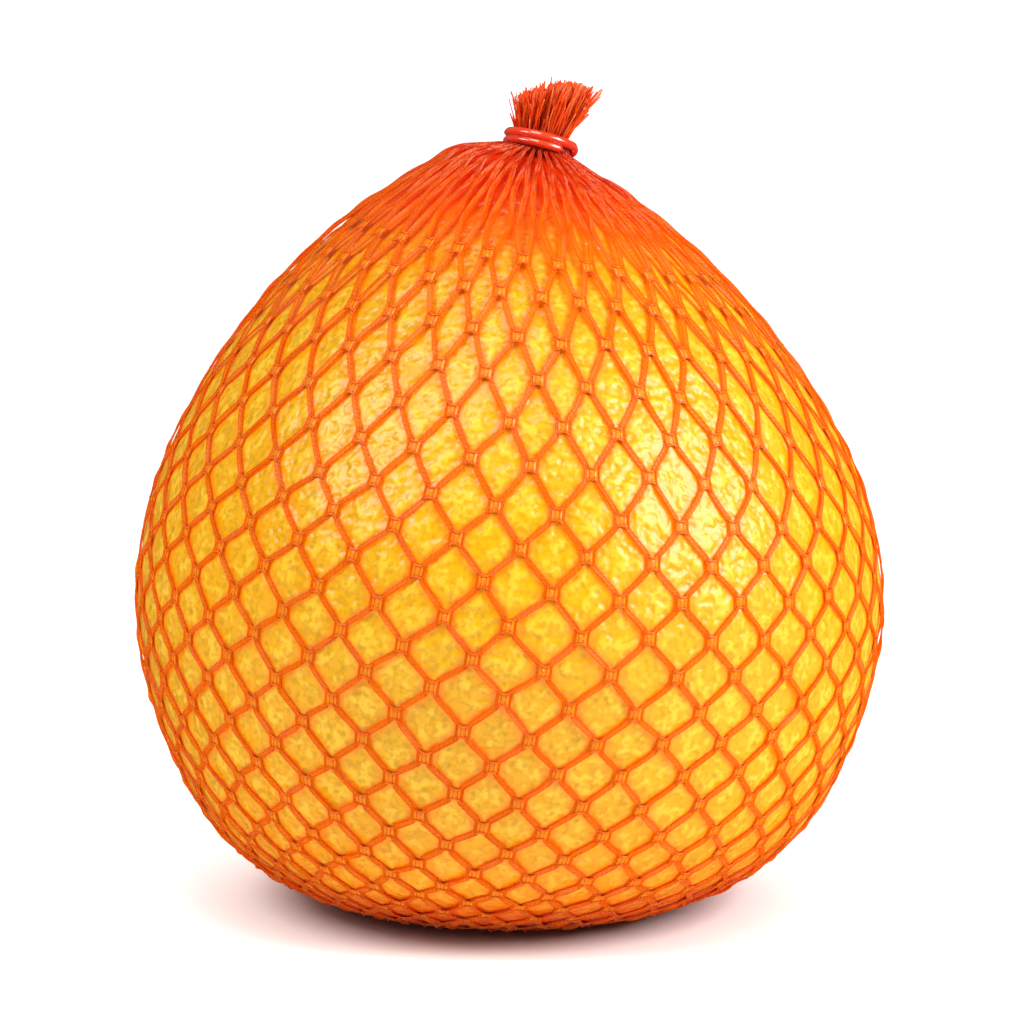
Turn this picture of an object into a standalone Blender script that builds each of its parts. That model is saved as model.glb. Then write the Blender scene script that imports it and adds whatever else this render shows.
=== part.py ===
"""A pear-shaped pomelo in a knitted plastic net, which a wire clip gathers at the top.

Blender 4.5, metres, +Z up. The origin is on the surface that the fruit rests on, under its middle,
and the front of the fruit faces -Y.
"""

import math

import bmesh
import bpy
import numpy as np
from mathutils import Vector

# Driving dimensions
REST_RADIUS = 0.029  # the base is flat this far out
OUTLINE = (  # radius and height of the net's outside, from the edge of the flat base to the top
    (REST_RADIUS, 0.0),
    (0.0478, 0.0044),
    (0.0622, 0.0150),
    (0.0744, 0.0368),
    (0.0798, 0.0640),
    (0.0764, 0.0862),
    (0.0662, 0.1082),
    (0.0521, 0.1277),
    (0.0339, 0.1453),
    (0.0194, 0.1549),
    (0.0092, 0.1602),
    (0.0, 0.1613),
)
MIDDLE = Vector((0.0, 0.0, 0.070))  # every ray from here crosses the outline once
TOP_SHIFT = -0.0020  # the fruit's top stands this far to the side of its middle
TOP_SHIFT_HEIGHTS = (0.060, 0.165)  # and the shift grows between these heights

STRAND_HEIGHT = 0.0010  # from the peel side of a strand to its outer ridge
STRAND_WIDTH = 0.0023
COLUMNS = 26  # meshes round the sleeve, fewer and larger than the real 36
ROWS = 25  # rows of knots from the closed end to the neck
GATHER_RADIUS = 0.0090  # the meshes close nearer to the sleeve's ends than this
ROW_GROWTH_OFFSET = 0.106  # the rows' spacing grows with the distance from a point this far below the end
NET_TILT = math.radians(8.4)  # the sleeve leans this far, its top towards +X
NECK_TILT = math.radians(5.3)  # and its very top this far
NECK_BACK_TILT = math.radians(1.0)  # and this far to the back
SAG = 0.007  # the rows hang this much lower at the front and back than at the sides
SAG_REACH = 0.175  # measured along the sleeve from its closed end
PRESSED = 0.0003  # the strands under the fruit are flattened by this much
REST_KNOTS = 3  # of the knots there, which the net stands on
REST_KNOT_RADIUS = 0.0285  # they stand this far from the middle
REST_KNOT_HEIGHT = 0.00012  # and this much lower than the rest of the base
REST_KNOT_WIDTH = 0.0024
VALLEY_DEPTH = 0.00035  # between the ridges of the strands that are drawn together at both ends
PAD_RADIUS = 0.0054  # the level middle of the closed end
PAD_THICKNESS = 0.0026

NECK_LEAN = math.radians(14.0)  # to the right
NECK_BACK_LEAN = math.radians(5.0)
NECK_RADIUS = 0.0054
NECK_RINGS = ((1.07, -0.0007), (1.0, 0.0008), (1.0, 0.0044), (1.10, 0.0056))  # share of its radius, height
TUFT_RINGS = ((0.98, 0.0062), (0.66, 0.0065), (0.33, 0.0067))  # the cut ends grow from between these
TUFT_TOP = 0.0146  # tips in the middle, above the foot of the neck
TUFT_DROP = 0.0030  # tips at the edge stand this much lower
TUFT_SLANT = 0.0020  # and those on the right this much higher
TUFT_SHIFT = 0.0008  # the tips stand this much to the right of the neck's axis
TUFT_HALF_WIDTH = 0.0088
TUFT_HALF_DEPTH = 0.0066
TUFT_UNEVEN = 0.0022  # the cut ends' heights differ by this much
TUFT_GAP = 0.00028  # between the roots of the cut ends
TUFT_TAPER = 0.62
TUFT_SEED = 7

FRUIT_DEPTH = 0.00185  # the peel lies this far inside the net's outline
FRUIT_SHOULDER_DEPTH = 0.0010  # and this much further under the gathered top
FRUIT_TURNS = 44
FRUIT_BASE_RINGS = (4, 8, 12, 16, 20, 24)  # degrees from straight down, seen from MIDDLE
FRUIT_SIDE_RINGS = (30, 170, 22)  # from, to and how many
FRUIT_STEM_RINGS = (173.0, 175.6, 176.6, 178.0, 178.6)
HOLLOW_DEPTH = 0.0055  # the dip at the blossom end
HOLLOW_RADIUS = 0.017
STEM_PIT_DEPTH = 0.0016
STEM_PIT_RADIUS = 0.0062
STEM_SCAR_RADIUS = 0.0030
STEM_SCAR_SHARE = 0.8  # of the pit's depth, which the scar stands up in it

CLIP_RADIUS = 0.0072  # to the middle of its wire
CLIP_WIRE_WIDTH = 0.0016
CLIP_WIRE_HEIGHT = 0.0015
CLIP_TURNS = 1.5
CLIP_START = math.radians(33)  # its lower end, round from the front. It runs on to the left and the back
CLIP_PITCH = 0.0017  # its two turns lie flat, this far apart
CLIP_CLIMB = (math.radians(262), math.radians(330))  # and it climbs between them this far from its start
CLIP_FOOT = 0.0005  # its lower turn's middle, above the foot of the neck
CLIP_ARCH = 0.0004  # it stands this much higher at the front and lower behind


def clear_scene():
    """Removes whatever the scene holds."""
    for obj in list(bpy.data.objects):
        bpy.data.objects.remove(obj, do_unlink=True)


def material(name, colour, roughness):
    """A Principled BSDF of one colour."""
    made = bpy.data.materials.new(name)
    made.use_nodes = True
    shader = made.node_tree.nodes["Principled BSDF"]
    shader.inputs["Base Color"].default_value = (*colour, 1.0)
    shader.inputs["Roughness"].default_value = roughness
    return made


def smooth_step(value, start, end):
    """Goes from 0 at start to 1 at end, level at both."""
    part = np.clip((value - start) / (end - start), 0.0, 1.0)
    return part * part * (3.0 - 2.0 * part)


def curve_through(points, first_tangent, last_tangent, steps=24):
    """A smooth curve through the points: a cubic for each span, its tangents weighed by the spans beside."""
    points = np.array(points)
    spans = np.linalg.norm(np.diff(points, axis=0), axis=1)
    slopes = np.diff(points, axis=0) / spans[:, None]
    inner = slopes[:-1] * spans[1:, None] + slopes[1:] * spans[:-1, None]
    inner /= (spans[:-1] + spans[1:])[:, None]
    tangents = np.vstack([first_tangent, inner, last_tangent])
    t = np.linspace(0.0, 1.0, steps, endpoint=False)[:, None]
    pieces = []
    for i, span in enumerate(spans):
        pieces.append(
            (1 + 2 * t) * (1 - t) ** 2 * points[i]
            + t * (1 - t) ** 2 * span * tangents[i]
            + t * t * (3 - 2 * t) * points[i + 1]
            + t * t * (t - 1) * span * tangents[i + 1]
        )
    return np.vstack(pieces + [points[-1:]])


def outline_tables():
    """Angle from straight down, distance from MIDDLE and length, along the outline from the base up."""
    across = np.linspace(0.0, REST_RADIUS, 30, endpoint=False)
    base = np.stack([across, np.zeros_like(across)], axis=1)
    side = curve_through(OUTLINE, (1.0, 0.0), (-1.0, 0.0))
    points = np.vstack([base, side])
    drop = MIDDLE.z - points[:, 1]
    angle = np.arctan2(points[:, 0], drop)
    distance = np.hypot(points[:, 0], drop)
    steps = np.linalg.norm(np.diff(points, axis=0), axis=1)
    along = np.concatenate([[0.0], np.cumsum(steps)])
    return angle, distance, along


OUTLINE_ANGLE, OUTLINE_DISTANCE, OUTLINE_ALONG = outline_tables()


def shifted(place):
    """The same place, moved to the side as far as the fruit's top is at its height."""
    return place + Vector((TOP_SHIFT * float(smooth_step(place.z, *TOP_SHIFT_HEIGHTS)), 0.0, 0.0))


def net_point(turn, along, depth):
    """The point of the sleeve at an angle round it from the front and a length along it from its closed end,
    as far inside the outline as depth says. The row sags, the ray to it leans, and the outline ends it."""
    sag = SAG * np.sin(np.pi * np.clip(along / SAG_REACH, 0.0, 1.0)) ** 2
    along = along + sag * (0.5 - 0.5 * np.cos(2 * turn))
    angle = np.interp(along, OUTLINE_ALONG, OUTLINE_ANGLE)
    tilt = NET_TILT + (NECK_TILT - NET_TILT) * smooth_step(angle, 0.62 * np.pi, 0.98 * np.pi)
    x = np.sin(angle) * np.sin(turn)
    y = -np.sin(angle) * np.cos(turn)
    z = -np.cos(angle)
    x, z = x * np.cos(tilt) + z * np.sin(tilt), z * np.cos(tilt) - x * np.sin(tilt)
    back = NECK_BACK_TILT * smooth_step(angle, 0.62 * np.pi, 0.98 * np.pi)
    y, z = y * np.cos(back) + z * np.sin(back), z * np.cos(back) - y * np.sin(back)
    distance = np.interp(np.arccos(np.clip(-z, -1.0, 1.0)), OUTLINE_ANGLE, OUTLINE_DISTANCE) - depth
    return shifted(Vector(MIDDLE) + Vector((x, y, z)) * float(distance))


def row_along(row):
    """Length along the sleeve to a row or part of one. Every row adds the same share to the spacing."""
    start = GATHER_RADIUS + ROW_GROWTH_OFFSET
    end = OUTLINE_ALONG[-1] - GATHER_RADIUS + ROW_GROWTH_OFFSET
    return start * (end / start) ** (row / (ROWS - 1)) - ROW_GROWTH_OFFSET


def row_radius(row):
    """Distance of a row from the sleeve's own axis."""
    along = row_along(row)
    angle = np.interp(along, OUTLINE_ALONG, OUTLINE_ANGLE)
    return float(np.interp(along, OUTLINE_ALONG, OUTLINE_DISTANCE) * np.sin(angle))


def knot_turn(row, column):
    """Angle round the sleeve of a knot: every other row is half a mesh on."""
    return 2 * math.pi * (column + 0.5 * (row % 2)) / COLUMNS


def hole_scale(row):
    """How much of its mesh the hole in the middle of a row fills, each strand taking half its width from it.
    The strands fold narrower where the meshes are drawn together."""
    half_across = math.pi * row_radius(row) / COLUMNS
    half_up = 0.5 * (row_along(row + 1) - row_along(row - 1))
    widest = math.pi * OUTLINE[4][0] / COLUMNS
    half_strand = 0.5 * STRAND_WIDTH * math.sqrt(half_across / widest)
    return 1.0 - half_strand * math.hypot(half_across, half_up) / (half_across * half_up)


def build_sleeve(mesh):
    """The net itself: strands with an outer ridge from knot to knot, and a hole through every mesh.

    Each mesh has its knots at its lower, right, upper and left corners. Its hole is the same four corners
    drawn towards the middle, at the peel side. Sloping faces join the ridges to the holes, and the peel side
    closes between the holes. Returns the rings of ridge points and peel points at both ends."""
    knots = []
    for row in range(ROWS):
        places = [net_point(knot_turn(row, i), row_along(row), 0.0) for i in range(COLUMNS)]
        knots.append([mesh.verts.new(place) for place in places])

    def knot(row, column):
        return knots[row][column % COLUMNS]

    def corners(row, column):
        """Lower, right, upper and left knot of the mesh right of knot (row, column)."""
        beside = column + row % 2
        return (
            knot(row - 1, beside) if row > 0 else None,
            knot(row, column + 1),
            knot(row + 1, beside) if row < ROWS - 1 else None,
            knot(row, column),
        )

    holes = {}
    for row in range(ROWS):
        for column in range(COLUMNS):
            middle = knot_turn(row, column + 0.5)
            if row in (0, ROWS - 1):
                inner = mesh.verts.new(net_point(middle, row_along(row), STRAND_HEIGHT))
                holes[row, column] = (inner, inner, inner, inner)
                continue
            scale = hole_scale(row)
            half = math.pi / COLUMNS * scale
            below = row_along(row) + (row_along(row - 1) - row_along(row)) * scale
            above = row_along(row) + (row_along(row + 1) - row_along(row)) * scale
            holes[row, column] = tuple(
                mesh.verts.new(net_point(turn, along, STRAND_HEIGHT))
                for turn, along in (
                    (middle, below),
                    (middle + half, row_along(row)),
                    (middle, above),
                    (middle - half, row_along(row)),
                )
            )

    for (row, column), hole in holes.items():
        if row in (0, ROWS - 1):
            continue
        outer = corners(row, column)
        for side in range(4):
            after = (side + 1) % 4
            mesh.faces.new((outer[side], outer[after], hole[after], hole[side]))

    def hole(row, column, corner):
        return holes[row, column % COLUMNS][corner]

    def face(*verts):
        """A face without repeated corners, or none where fewer than three are left."""
        kept = [v for i, v in enumerate(verts) if v is not verts[i - 1]]
        if len(set(kept)) > 2:
            mesh.faces.new(kept)

    for row in range(ROWS):
        for column in range(COLUMNS):
            shift = row % 2 - 1
            right, left = (row, column), (row, column - 1)
            up, down = (row + 1, column + shift), (row - 1, column + shift)
            ring = [hole(*right, 3)]
            if row > 0:
                ring.append(hole(*down, 2))
            ring.append(hole(*left, 1))
            if row < ROWS - 1:
                ring.append(hole(*up, 0))
            face(*ring)
            if row < ROWS - 1:
                face(hole(*right, 3), hole(*up, 0), hole(*up, 1), hole(*right, 2))
                face(hole(*up, 0), hole(*left, 1), hole(*left, 2), hole(*up, 3))

    ends = {}
    for row, valley_row, beyond in ((0, -0.25, 1), (ROWS - 1, ROWS - 0.75, -1)):
        ridge = []
        for column in range(COLUMNS):
            valley = mesh.verts.new(
                net_point(knot_turn(row, column + 0.5), row_along(valley_row), VALLEY_DEPTH)
            )
            here, after = knot(row, column), knot(row, column + 1)
            tip = knot(row + beyond, column + row % 2)
            if beyond > 0:
                mesh.faces.new((here, valley, after))
                mesh.faces.new((here, after, tip))
            else:
                mesh.faces.new((here, after, valley))
                mesh.faces.new((here, tip, after))
            ridge += [here, valley]
        ends[row] = (ridge, [holes[row, column][0] for column in range(COLUMNS)])
    return ends[0], ends[ROWS - 1]


def new_ring(mesh, centre, across, front, radius, start, count):
    """A ring of points round a centre, in the plane of two unit directions, from a start angle."""
    ring = []
    for i in range(count):
        turn = start + 2 * math.pi * i / count
        ring.append(mesh.verts.new(centre + (across * math.sin(turn) + front * math.cos(turn)) * radius))
    return ring


def join_rings(mesh, lower, upper):
    """Quads between two rings of as many points, or triangles where the lower one has twice as many."""
    count = len(upper)
    for i in range(count):
        after = (i + 1) % count
        if len(lower) == count:
            mesh.faces.new((lower[i], lower[after], upper[after], upper[i]))
        else:
            mesh.faces.new((lower[2 * i], lower[2 * i + 1], upper[i]))
            mesh.faces.new((lower[2 * i + 1], lower[(2 * i + 2) % len(lower)], upper[after], upper[i]))


def close_ring(mesh, ring, point):
    """A fan of triangles from a ring to a point."""
    tip = mesh.verts.new(point)
    for i, vert in enumerate(ring):
        mesh.faces.new((vert, ring[(i + 1) % len(ring)], tip))


def neck_frame():
    """Foot of the neck, and its directions across to +X, to the front and up."""
    foot = net_point(0.0, OUTLINE_ALONG[-1], 0.0)
    up = Vector((math.tan(NECK_LEAN), math.tan(NECK_BACK_LEAN), 1.0)).normalized()
    front = (Vector((0.0, -1.0, 0.0)) + up * up.y).normalized()
    across = up.cross(front)
    return foot, across, front, up


def build_neck(mesh, ridge, peel_side):
    """The gathered neck through the clip and the flared bunch above it, ready for its cut ends.

    Returns the faces that the cut ends grow from."""
    foot, across, front, up = neck_frame()
    start = knot_turn(ROWS - 1, 0)

    def ring_at(radius, height, count):
        return new_ring(mesh, foot + up * height, across, front, radius * NECK_RADIUS, start, count)

    lower = ridge
    for radius, height in NECK_RINGS:
        ring = ring_at(radius, height, COLUMNS)
        join_rings(mesh, lower, ring)
        lower = ring
    close_ring(mesh, peel_side[::-1], foot - up * PAD_THICKNESS / 2)
    neck_faces = set(mesh.faces)
    rim = ring_at(*TUFT_RINGS[0], COLUMNS)
    join_rings(mesh, lower, rim)
    half = COLUMNS // 2
    outer = ring_at(*TUFT_RINGS[1], half)
    inner = ring_at(*TUFT_RINGS[2], half)
    for i in range(half):
        after = (i + 1) % half
        mesh.faces.new((rim[2 * i], rim[2 * i + 1], rim[(2 * i + 2) % COLUMNS], outer[after], outer[i]))
    join_rings(mesh, outer, inner)
    close_ring(mesh, inner, foot + up * TUFT_RINGS[2][1])
    return [f for f in mesh.faces if f not in neck_faces]


def grow_cut_ends(mesh, faces):
    """Raises each face into a tapered strand whose tip leans out with the bunch, by a seeded length."""
    foot, across, front, up = neck_frame()
    draw = np.random.default_rng(TUFT_SEED)
    bmesh.ops.inset_individual(mesh, faces=faces, thickness=TUFT_GAP / 2, use_even_offset=False)
    for tip in faces:
        middle = tip.calc_center_median()
        right = (middle - foot).dot(across) / NECK_RADIUS
        forward = (middle - foot).dot(front) / NECK_RADIUS
        rise = TUFT_TOP - TUFT_DROP * (right**2 + forward**2) + TUFT_SLANT * right
        target = foot + up * (rise + TUFT_UNEVEN * (draw.random() - 0.5))
        target += across * (right * TUFT_HALF_WIDTH + TUFT_SHIFT) + front * forward * TUFT_HALF_DEPTH
        for vert in tip.verts:
            vert.co = target + (vert.co - middle) * TUFT_TAPER


def build_net():
    """The net as one closed body: sleeve, neck with its cut ends, and the gathered end under the fruit."""
    mesh = bmesh.new()
    bottom, top = build_sleeve(mesh)
    cut_faces = build_neck(mesh, *top)
    grow_cut_ends(mesh, cut_faces)
    ridge, peel_side = bottom
    start = knot_turn(0, 0)
    foot = net_point(0.0, 0.0, 0.0)
    pad = new_ring(mesh, foot, Vector((1, 0, 0)), Vector((0, -1, 0)), PAD_RADIUS, start, COLUMNS)
    join_rings(mesh, ridge, pad)
    close_ring(mesh, pad, foot)
    close_ring(mesh, peel_side, foot + Vector((0.0, 0.0, PAD_THICKNESS)))
    bmesh.ops.recalc_face_normals(mesh, faces=mesh.faces)
    bmesh.ops.translate(mesh, vec=(0.0, 0.0, -PRESSED), verts=mesh.verts)
    data = bpy.data.meshes.new("net")
    mesh.to_mesh(data)
    mesh.free()
    return data


def build_fruit():
    """The fruit, turned about its own upright axis: the outline set in by FRUIT_DEPTH, with a dip at the
    base that falls off as a bell curve, and a shallow pit with a raised scar at the stem end."""
    mesh = bmesh.new()
    angles = np.radians([*FRUIT_BASE_RINGS, *np.linspace(*FRUIT_SIDE_RINGS), *FRUIT_STEM_RINGS])

    def ring_at(angle):
        distance = np.interp(angle, OUTLINE_ANGLE, OUTLINE_DISTANCE) - FRUIT_DEPTH
        distance -= FRUIT_SHOULDER_DEPTH * smooth_step(angle, math.radians(120), math.radians(155))
        radius = distance * math.sin(angle)
        height = -distance * math.cos(angle)
        if angle < math.pi / 2:
            height += HOLLOW_DEPTH * math.exp(-((radius / HOLLOW_RADIUS) ** 2))
        else:
            height -= STEM_PIT_DEPTH * (1.0 - smooth_step(radius, STEM_SCAR_RADIUS, STEM_PIT_RADIUS))
            scar = 1.0 - smooth_step(radius, 0.7 * STEM_SCAR_RADIUS, STEM_SCAR_RADIUS)
            height += STEM_SCAR_SHARE * STEM_PIT_DEPTH * scar
        return radius, height

    lower = None
    for angle in angles:
        radius, height = ring_at(float(angle))
        centre = shifted(Vector(MIDDLE) + Vector((0.0, 0.0, height)))
        ring = new_ring(mesh, centre, Vector((1, 0, 0)), Vector((0, -1, 0)), radius, 0.0, FRUIT_TURNS)
        if lower is None:
            close_ring(mesh, ring, Vector(MIDDLE) + Vector((0.0, 0.0, ring_at(0.0)[1])))
        else:
            join_rings(mesh, lower, ring)
        lower = ring
    close_ring(mesh, lower, shifted(Vector(MIDDLE) + Vector((0.0, 0.0, ring_at(math.pi)[1]))))
    bmesh.ops.recalc_face_normals(mesh, faces=mesh.faces)
    data = bpy.data.meshes.new("pomelo")
    mesh.to_mesh(data)
    mesh.free()
    return data


def build_clip():
    """The clip: an oval wire carried round the neck in flat turns, with a climb between them at the right
    and its ends rounded."""
    foot, across, front, up = neck_frame()
    steps, sides, first_corner = 40, 8, 0.2
    mesh = bmesh.new()
    lower = None
    rounding = ((-0.45, 0.45), (-0.12, 0.85))  # steps back from an end, in wire heights, and its share there
    stations = []
    for offset, scale in rounding:
        stations.append((offset * CLIP_WIRE_HEIGHT / CLIP_RADIUS, scale))
    stations += [(2 * math.pi * CLIP_TURNS * i / steps, 1.0) for i in range(1, steps)]
    last = 2 * math.pi * CLIP_TURNS
    for offset, scale in rounding[::-1]:
        stations.append((last - offset * CLIP_WIRE_HEIGHT / CLIP_RADIUS, scale))
    for travelled, scale in stations:
        turn = CLIP_START - travelled
        outward = across * math.sin(turn) + front * math.cos(turn)
        climb = float(smooth_step(travelled, *CLIP_CLIMB))
        height = CLIP_FOOT + CLIP_PITCH * climb + CLIP_ARCH * math.cos(turn)
        centre = foot + outward * CLIP_RADIUS + up * height
        wide, high = outward * CLIP_WIRE_WIDTH, up * CLIP_WIRE_HEIGHT
        ring = new_ring(mesh, Vector(), wide, high, 0.5 * scale, first_corner, sides)
        for vert in ring:
            vert.co += centre
        if lower is None:
            mesh.faces.new(ring[::-1])
        else:
            join_rings(mesh, lower, ring)
        lower = ring
    mesh.faces.new(lower)
    bmesh.ops.recalc_face_normals(mesh, faces=mesh.faces)
    data = bpy.data.meshes.new("clip")
    mesh.to_mesh(data)
    mesh.free()
    return data


def add_object(data, made_of, smooth_degrees):
    """An object in the scene for a mesh, shaded smooth up to an angle."""
    obj = bpy.data.objects.new(data.name, data)
    bpy.context.scene.collection.objects.link(obj)
    data.materials.append(made_of)
    data.shade_smooth()
    data.set_sharp_from_angle(angle=math.radians(smooth_degrees))
    return obj


def rest_places():
    """Where the net stands on the surface: in some even directions, the knot nearest to a point there."""
    lower_rows = range(ROWS // 2)
    knots = [net_point(knot_turn(row, i), row_along(row), 0.0) for row in lower_rows for i in range(COLUMNS)]
    places = []
    for i in range(REST_KNOTS):
        turn = 2 * math.pi * i / REST_KNOTS
        wanted = Vector((math.sin(turn), -math.cos(turn), 0.0)) * REST_KNOT_RADIUS
        nearest = min(knots, key=lambda place: (place - wanted).length)
        places.append(Vector((nearest.x, nearest.y, 0.0)))
    return places


def flatten_base(net):
    """Cuts the strands under the fruit off flat, but for the points of the few knots that the net stands on:
    the cutter's top has a pit for each, with the shape of a low pyramid that ends on the surface."""
    cutter_data = bpy.data.meshes.new("surface_cutter")
    shape = bmesh.new()
    bmesh.ops.create_cube(shape, size=0.2)
    bmesh.ops.translate(shape, vec=(0.0, 0.0, REST_KNOT_HEIGHT - 0.1), verts=shape.verts)
    top = max(shape.faces, key=lambda face: face.calc_center_median().z)
    shape.faces.remove(top)
    for place in rest_places():
        edge = place + Vector((0, 0, REST_KNOT_HEIGHT))
        pit = new_ring(shape, edge, Vector((1, 0, 0)), Vector((0, -1, 0)), REST_KNOT_WIDTH / 2, 0.0, 4)
        close_ring(shape, pit, place)
    edges = [e for e in shape.edges if len(e.link_faces) == 1]
    bmesh.ops.triangle_fill(shape, edges=edges, use_beauty=True)
    bmesh.ops.recalc_face_normals(shape, faces=shape.faces)
    shape.to_mesh(cutter_data)
    shape.free()
    cutter = bpy.data.objects.new("surface_cutter", cutter_data)
    bpy.context.scene.collection.objects.link(cutter)
    cutter.hide_render = True
    cutter.display_type = "WIRE"
    cut = net.modifiers.new("flat base", "BOOLEAN")
    cut.operation = "DIFFERENCE"
    cut.solver = "EXACT"
    cut.object = cutter


def main():
    """Builds the fruit, its net and the clip."""
    clear_scene()
    add_object(build_fruit(), material("peel", (0.86, 0.62, 0.10), 0.42), 40)
    net = add_object(build_net(), material("red_net", (0.90, 0.16, 0.03), 0.38), 30)
    flatten_base(net)
    add_object(build_clip(), material("red_clip", (0.85, 0.10, 0.03), 0.22), 45)


main()
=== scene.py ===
"""The looks of a pear-shaped pomelo in a knitted net that a wire clip gathers at the top.

Metres, +Z up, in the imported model's own frame: the fruit stands on z = 0 and its front faces -Y.
"""

import math

import bpy
import numpy as np
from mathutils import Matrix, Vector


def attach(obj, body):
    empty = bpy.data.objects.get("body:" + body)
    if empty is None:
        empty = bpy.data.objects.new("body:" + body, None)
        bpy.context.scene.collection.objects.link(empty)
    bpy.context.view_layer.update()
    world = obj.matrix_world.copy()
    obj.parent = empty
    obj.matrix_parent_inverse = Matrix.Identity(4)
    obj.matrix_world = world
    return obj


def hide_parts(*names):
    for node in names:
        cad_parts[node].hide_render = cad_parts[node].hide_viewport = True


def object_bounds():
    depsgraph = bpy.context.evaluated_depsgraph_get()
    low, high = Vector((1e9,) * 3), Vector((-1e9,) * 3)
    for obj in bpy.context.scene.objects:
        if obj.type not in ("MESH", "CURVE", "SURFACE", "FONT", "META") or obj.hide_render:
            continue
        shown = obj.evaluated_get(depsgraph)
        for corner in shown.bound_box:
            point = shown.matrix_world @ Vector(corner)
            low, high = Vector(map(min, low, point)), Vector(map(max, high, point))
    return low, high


bl_info = {
    "name": "Pomelo in a net",
    "version": (1, 0, 0),
    "blender": (4, 5, 0),
    "location": "View3D > Sidebar > Pomelo",
    "description": "Adds the peel, the knitted net, its cut ends, the clip and a plain stage",
    "category": "Add Mesh",
}

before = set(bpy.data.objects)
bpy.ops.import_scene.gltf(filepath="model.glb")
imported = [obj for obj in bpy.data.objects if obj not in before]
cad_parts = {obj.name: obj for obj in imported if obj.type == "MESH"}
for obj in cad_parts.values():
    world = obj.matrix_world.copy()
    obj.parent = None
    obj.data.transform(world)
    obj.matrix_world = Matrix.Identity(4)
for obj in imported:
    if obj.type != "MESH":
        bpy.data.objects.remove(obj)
CAD_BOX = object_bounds()

# The net's outside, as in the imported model: radius and height, from the edge of the flat base to the top
REST_RADIUS = 0.029
OUTLINE = (
    (REST_RADIUS, 0.0),
    (0.0478, 0.0044),
    (0.0622, 0.0150),
    (0.0744, 0.0368),
    (0.0798, 0.0640),
    (0.0764, 0.0862),
    (0.0662, 0.1082),
    (0.0521, 0.1277),
    (0.0339, 0.1453),
    (0.0194, 0.1549),
    (0.0092, 0.1602),
    (0.0, 0.1613),
)
MIDDLE_HEIGHT = 0.070  # every ray from here crosses the outline once
TOP_SHIFT = -0.0020  # the fruit's top stands this far to the side of its middle
TOP_SHIFT_HEIGHTS = (0.060, 0.165)
NET_TILT = math.radians(8.4)  # the net's axis leans this far to the side of the fruit's
NECK_TILT = math.radians(5.3)
NECK_BACK_TILT = math.radians(1.0)
SAG = 0.007  # the net hangs down this far at both sides, halfway up its reach
SAG_REACH = 0.175
NECK_LEAN = math.radians(14.0)  # the tuft and the clip lean with the neck
NECK_BACK_LEAN = math.radians(5.0)
NECK_ANGLES = (0.62 * math.pi, 0.98 * math.pi)  # the net's tilt turns into the neck's between these
NECK_SINK = 0.0009  # the clip presses its foot this far into the gathered top

# The real net's rows of knots, in millimetres up the outline from the base's middle. Below and above these
# they go on closer together and further apart by the same share each row.
SEEN_ROWS = (
    *(60.3, 65.9, 71.6, 78.1, 84.5, 91.3, 98.6, 105.8, 113.0, 120.4),
    *(128.0, 135.8, 143.6, 151.4, 160.6, 169.7, 179.3, 189.2, 199.2, 208.1),
)
ROW_GROWTH = 1.0336
ROW_GROWTH_OFFSET = 0.106
ROWS_BELOW = 11
ROWS_ABOVE = 3
KNOT_ROWS = (4, 3)  # this many rows at the closed end and at the neck are too crowded to show knots
FLOOR_GAP = 0.00003  # what the fruit presses down on the floor stays this far above it

# Profile of a tape: across and up, in half widths and heights, counter-clockwise with up outwards
TAPE_PROFILE = np.array([
    *[(0.0, 0.0), (0.90, 0.0), (1.0, 0.5), (0.86, 1.0), (0.62, 0.40)],
    *[(-0.62, 0.40), (-0.86, 1.0), (-1.0, 0.5), (-0.90, 0.0)],
])
INTERVAL_STATIONS = np.array([0.0, 0.09, 0.17, 0.25, 0.36, 0.5, 0.64, 0.75, 0.83, 0.91])
NECK_STATIONS = ((6.4, -0.3), (5.7, 0.5), (5.4, 1.5), (5.3, 2.4))  # radius and height, millimetres
CROWDED_SPACINGS = (0.0007, 0.0030)  # tapes that are closer than these count as gathered
LOW_HEIGHTS = (0.003, 0.020)  # below these the net is pressed together over the floor

# Heights of the knots' parts over the tapes' undersides, in metres, and what is added in their middles
LOOP_LIFT = 0.00016
LOOP_RISE = 0.00018
WEB_LIFT = 0.00020
WEB_RISE = 0.00014
WEB_UNDERSIDE = 0.00004

# The tuft, in millimetres. Its tips reach to the sides and to the front, round a middle shifted to the right.
TUFT_START = -1.2
TUFT_NECK_RADIUS = 4.7
TUFT_REACH = (7.9, 6.2)
TUFT_SHIFT = 0.5
TUFT_UNEVENNESS = 0.75
TUFT_SWAY = 0.42

CLIP_TURNS = 1.5
CLIP_START = math.radians(33)  # its lower end, round from the front to the right
CLIP_STEP = (math.radians(262), math.radians(330))  # from its lower to its upper turn, along its way
CLIP_SQUARENESS = 3.4
CLIP_FIT = 0.96  # brings the rounded square back to about the wire's thickness

NET_IOR = 1.5
PEEL_SEED = 3
PEEL_WAVES = 28
HOLLOW_REACH = 0.017
SENSOR = 36.0
RENDER_SIZE = 1024
SIGHT = (0.0, 0.0, 0.080)  # this place stands at the render's column and row below
SIGHT_PIXEL = (509.7, 525.0)


def smooth_step(value, start, end):
    """Goes from 0 at start to 1 at end, level at both: 3t^2 - 2t^3."""
    part = np.clip((value - start) / (end - start), 0.0, 1.0)
    return part * part * (3.0 - 2.0 * part)


def unit(vectors):
    """The same directions at length 1."""
    return vectors / np.maximum(np.linalg.norm(vectors, axis=-1, keepdims=True), 1e-12)


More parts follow.
